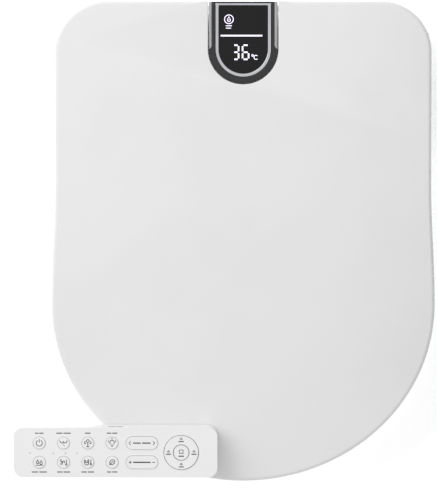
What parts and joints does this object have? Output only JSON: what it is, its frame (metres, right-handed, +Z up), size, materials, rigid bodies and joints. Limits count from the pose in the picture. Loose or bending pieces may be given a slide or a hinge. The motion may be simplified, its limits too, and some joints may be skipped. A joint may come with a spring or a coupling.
{
  "type": "electric bidet seat",
  "caption": "Heated toilet seat with washing unit: hinged lid and ring, sliding nozzles, dryer, display and remote control.",
  "frame": {"origin": "midway between the two fixing slots, on the underside that lies on the toilet bowl's rear deck", "axes": "+Z up, -Y towards the front of the bowl, +X to the right seen from above with the front at the bottom"},
  "size_m": [0.434, 0.494, 0.12],
  "materials": {
    "white_gloss": "gloss white",
    "grey_rubber": "matt grey",
    "heater_foil": "copper-coloured film",
    "steel": "brushed",
    "dark_plastic": "satin dark",
    "dark_chrome": "dark chrome plating",
    "bright_chrome": "bright chrome plating",
    "silver_trim": "satin silver",
    "black_glass": "gloss black",
    "circuit_board": "green board",
    "nozzle_plastic": "pale gloss",
    "brass": "satin",
    "heater_body": "satin grey",
    "valve_plastic": "satin",
    "hose": "pale blue",
    "carbon": "matt black",
    "light_lens": "frosted",
    "button_grey": "satin grey",
    "battery": "gloss",
    "ir_plastic": "dark gloss",
    "key_white": "satin white"
  },
  "bodies": {
    "base": {"base_tray": "white_gloss", "base_cover": "white_gloss", "fixing_plate": "steel", "case_screws": "steel", "hinge_pins": "steel", "seat_damper": "dark_plastic", "lid_damper": "dark_plastic", "display_frame": "dark_chrome", "display_bright_frame": "bright_chrome", "display_side_strips": "silver_trim", "display_glass": "black_glass", "display_board": "circuit_board", "nozzle_cradle": "nozzle_plastic", "nozzle_motors": "steel", "inlet_valve": "brass", "water_heater": "heater_body", "air_pump": "dark_plastic", "diverter_valve": "valve_plastic", "hoses": "hose", "fan_housing": "dark_plastic", "fan_motor": "steel", "dryer_duct": "dark_plastic", "main_board": "circuit_board", "power_board": "circuit_board", "night_light": "light_lens", "cord_gland": "dark_plastic"},
    "seat": {"seat_top": "white_gloss", "seat_bottom": "white_gloss", "seat_heater": "heater_foil", "seat_feet": "grey_rubber"},
    "lid": {"lid": "white_gloss", "lid_bumpers": "grey_rubber"},
    "wash_nozzle": {"wash_nozzle": "nozzle_plastic"},
    "bidet_nozzle": {"bidet_nozzle": "nozzle_plastic"},
    "wash_gear": {"wash_gear": "nozzle_plastic"},
    "bidet_gear": {"bidet_gear": "nozzle_plastic"},
    "fan_wheel": {"fan_wheel": "nozzle_plastic"},
    "dryer_flap": {"dryer_flap": "white_gloss"},
    "carbon_cartridge": {"carbon_cartridge": "carbon"},
    "release_button": {"release_button": "button_grey"},
    "remote": {"remote_front": "white_gloss", "remote_back": "white_gloss", "remote_board": "circuit_board", "batteries": "battery", "ir_window": "ir_plastic"},
    "battery_door": {"battery_door": "white_gloss"},
    "ring_gimbal": {"ring_gimbal": "steel"},
    "ring_key": {"ring_key": "key_white"},
    "stop_key": {"stop_key": "key_white"},
    "key_power": {"key_power": "key_white"},
    "key_rear_wash": {"key_rear_wash": "key_white"},
    "key_kids_wash": {"key_kids_wash": "key_white"},
    "key_front_wash": {"key_front_wash": "key_white"},
    "key_light": {"key_light": "key_white"},
    "key_dryer": {"key_dryer": "key_white"},
    "key_seat_heat": {"key_seat_heat": "key_white"},
    "key_eco": {"key_eco": "key_white"},
    "rocker_position": {"rocker_position": "key_white"},
    "rocker_pressure": {"rocker_pressure": "key_white"}
  },
  "joints": [
    {"name": "seat_hinge", "type": "hinge", "parent": "base", "child": "seat", "pos_m": [0, 0.02, 0.094], "axis": [1, 0, 0], "range_deg": [-100, 0]},
    {"name": "lid_hinge", "type": "hinge", "parent": "seat", "child": "lid", "pos_m": [0, 0.02, 0.094], "axis": [-1, 0, 0], "range_deg": [0, 105]},
    {"name": "wash_nozzle_slide", "type": "slide", "parent": "base", "child": "wash_nozzle", "axis": [0, -0.9397, -0.342], "range_m": [0, 0.08]},
    {"name": "wash_gear_spin", "type": "hinge", "parent": "base", "child": "wash_gear", "pos_m": [-0.011, -0.0769, 0.04212], "axis": [-1, 0, 0], "range_deg": [0, 615]},
    {"name": "bidet_nozzle_slide", "type": "slide", "parent": "base", "child": "bidet_nozzle", "axis": [0, -0.9397, -0.342], "range_m": [0, 0.08]},
    {"name": "bidet_gear_spin", "type": "hinge", "parent": "base", "child": "bidet_gear", "pos_m": [0.011, -0.0769, 0.04212], "axis": [-1, 0, 0], "range_deg": [0, 615]},
    {"name": "fan_spin", "type": "hinge", "parent": "base", "child": "fan_wheel", "pos_m": [0.07987, -0.034, 0.04], "axis": [0, 0, 1], "continuous": true},
    {"name": "dryer_flap_hinge", "type": "hinge", "parent": "base", "child": "dryer_flap", "pos_m": [0.053, -0.1113, 0.022], "axis": [-1, 0, 0], "range_deg": [0, 60], "stiffness_Nm_per_rad": 0.0005},
    {"name": "cartridge_slide", "type": "slide", "parent": "base", "child": "carbon_cartridge", "axis": [1, 0, 0], "range_m": [0, 0.04]},
    {"name": "release_press", "type": "slide", "parent": "base", "child": "release_button", "axis": [-1, 0, 0], "range_m": [0, 0.004], "stiffness_N_per_m": 500},
    {"name": "remote_lift", "type": "slide", "parent": "lid", "child": "remote", "axis": [0, -0.1245, 0.9922], "range_m": [0, 0.15]},
    {"name": "battery_door_slide", "type": "slide", "parent": "remote", "child": "battery_door", "axis": [1, 0, 0], "range_m": [0, 0.03]},
    {"name": "key_power_press", "type": "slide", "parent": "remote", "child": "key_power", "axis": [0, 0.1245, -0.9922], "range_m": [0, 0.0006], "stiffness_N_per_m": 600},
    {"name": "key_rear_wash_press", "type": "slide", "parent": "remote", "child": "key_rear_wash", "axis": [0, 0.1245, -0.9922], "range_m": [0, 0.0006], "stiffness_N_per_m": 600},
    {"name": "key_kids_wash_press", "type": "slide", "parent": "remote", "child": "key_kids_wash", "axis": [0, 0.1245, -0.9922], "range_m": [0, 0.0006], "stiffness_N_per_m": 600},
    {"name": "key_front_wash_press", "type": "slide", "parent": "remote", "child": "key_front_wash", "axis": [0, 0.1245, -0.9922], "range_m": [0, 0.0006], "stiffness_N_per_m": 600},
    {"name": "key_light_press", "type": "slide", "parent": "remote", "child": "key_light", "axis": [0, 0.1245, -0.9922], "range_m": [0, 0.0006], "stiffness_N_per_m": 600},
    {"name": "key_dryer_press", "type": "slide", "parent": "remote", "child": "key_dryer", "axis": [0, 0.1245, -0.9922], "range_m": [0, 0.0006], "stiffness_N_per_m": 600},
    {"name": "key_seat_heat_press", "type": "slide", "parent": "remote", "child": "key_seat_heat", "axis": [0, 0.1245, -0.9922], "range_m": [0, 0.0006], "stiffness_N_per_m": 600},
    {"name": "key_eco_press", "type": "slide", "parent": "remote", "child": "key_eco", "axis": [0, 0.1245, -0.9922], "range_m": [0, 0.0006], "stiffness_N_per_m": 600},
    {"name": "stop_key_press", "type": "slide", "parent": "remote", "child": "stop_key", "axis": [0, 0.1245, -0.9922], "range_m": [0, 0.0006], "stiffness_N_per_m": 600},
    {"name": "rocker_position_tilt", "type": "hinge", "parent": "remote", "child": "rocker_position", "pos_m": [-0.1043, -0.40803, 0.08287], "axis": [0, 0.9922, 0.1245], "range_deg": [-2, 2], "stiffness_Nm_per_rad": 0.05},
    {"name": "rocker_pressure_tilt", "type": "hinge", "parent": "remote", "child": "rocker_pressure", "pos_m": [-0.1043, -0.42788, 0.08038], "axis": [0, 0.9922, 0.1245], "range_deg": [-2, 2], "stiffness_Nm_per_rad": 0.05},
    {"name": "ring_tilt_x", "type": "hinge", "parent": "remote", "child": "ring_gimbal", "pos_m": [-0.0638, -0.41783, 0.08063], "axis": [1, 0, 0], "range_deg": [-1.5, 1.5], "stiffness_Nm_per_rad": 0.05},
    {"name": "ring_tilt_y", "type": "hinge", "parent": "ring_gimbal", "child": "ring_key", "pos_m": [-0.0638, -0.41783, 0.08063], "axis": [0, 0.9922, 0.1245], "range_deg": [-1.5, 1.5], "stiffness_Nm_per_rad": 0.05}
  ],
  "couplings": [
    {"joint": "wash_gear_spin", "follows": "wash_nozzle_slide", "rad_per_m": 133.33},
    {"joint": "bidet_gear_spin", "follows": "bidet_nozzle_slide", "rad_per_m": 133.33}
  ]
}
